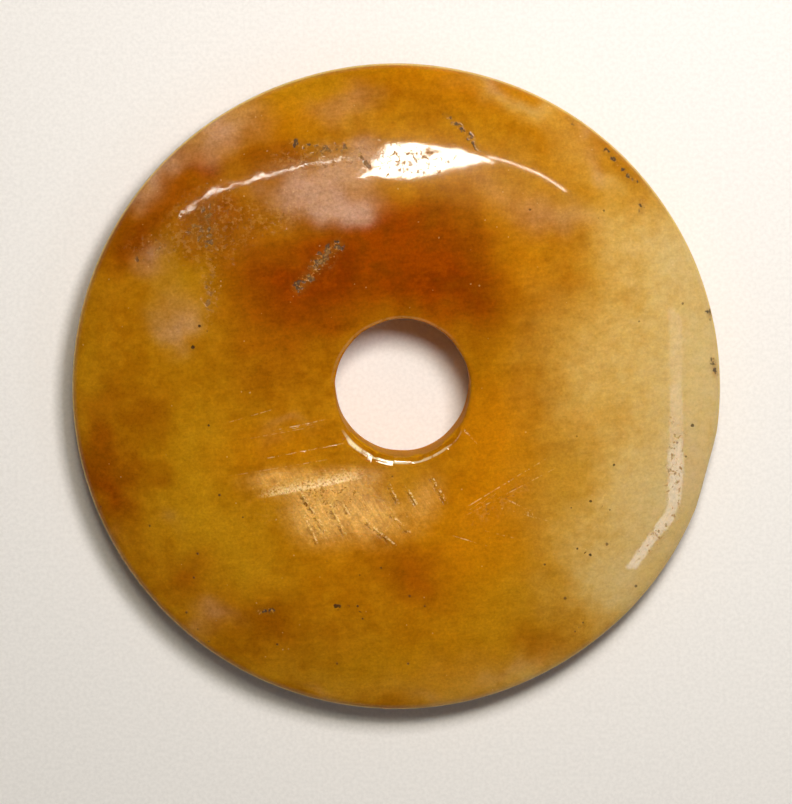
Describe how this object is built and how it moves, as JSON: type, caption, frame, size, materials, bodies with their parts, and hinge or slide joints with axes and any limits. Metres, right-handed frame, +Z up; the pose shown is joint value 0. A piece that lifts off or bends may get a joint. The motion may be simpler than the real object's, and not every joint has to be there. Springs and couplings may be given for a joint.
{
  "type": "bi disc",
  "caption": "Pendant-size stone disc, domed on both faces, with a small round hole drilled slightly off centre. It lies on the worn flat ring of its underside.",
  "frame": {"origin": "on the surface that the disc lies on, below the middle of its outline", "axes": "+Z up, along the disc's axis; +X and +Y in the plane of the disc, with +Y towards the top of the picture and the flat on the edge at 15 degrees from +X towards -Y"},
  "size_m": [0.05, 0.05, 0.0072],
  "materials": {
    "jade": "polished"
  },
  "bodies": {
    "root": {"jade_disc": "jade"}
  },
  "joints": []
}
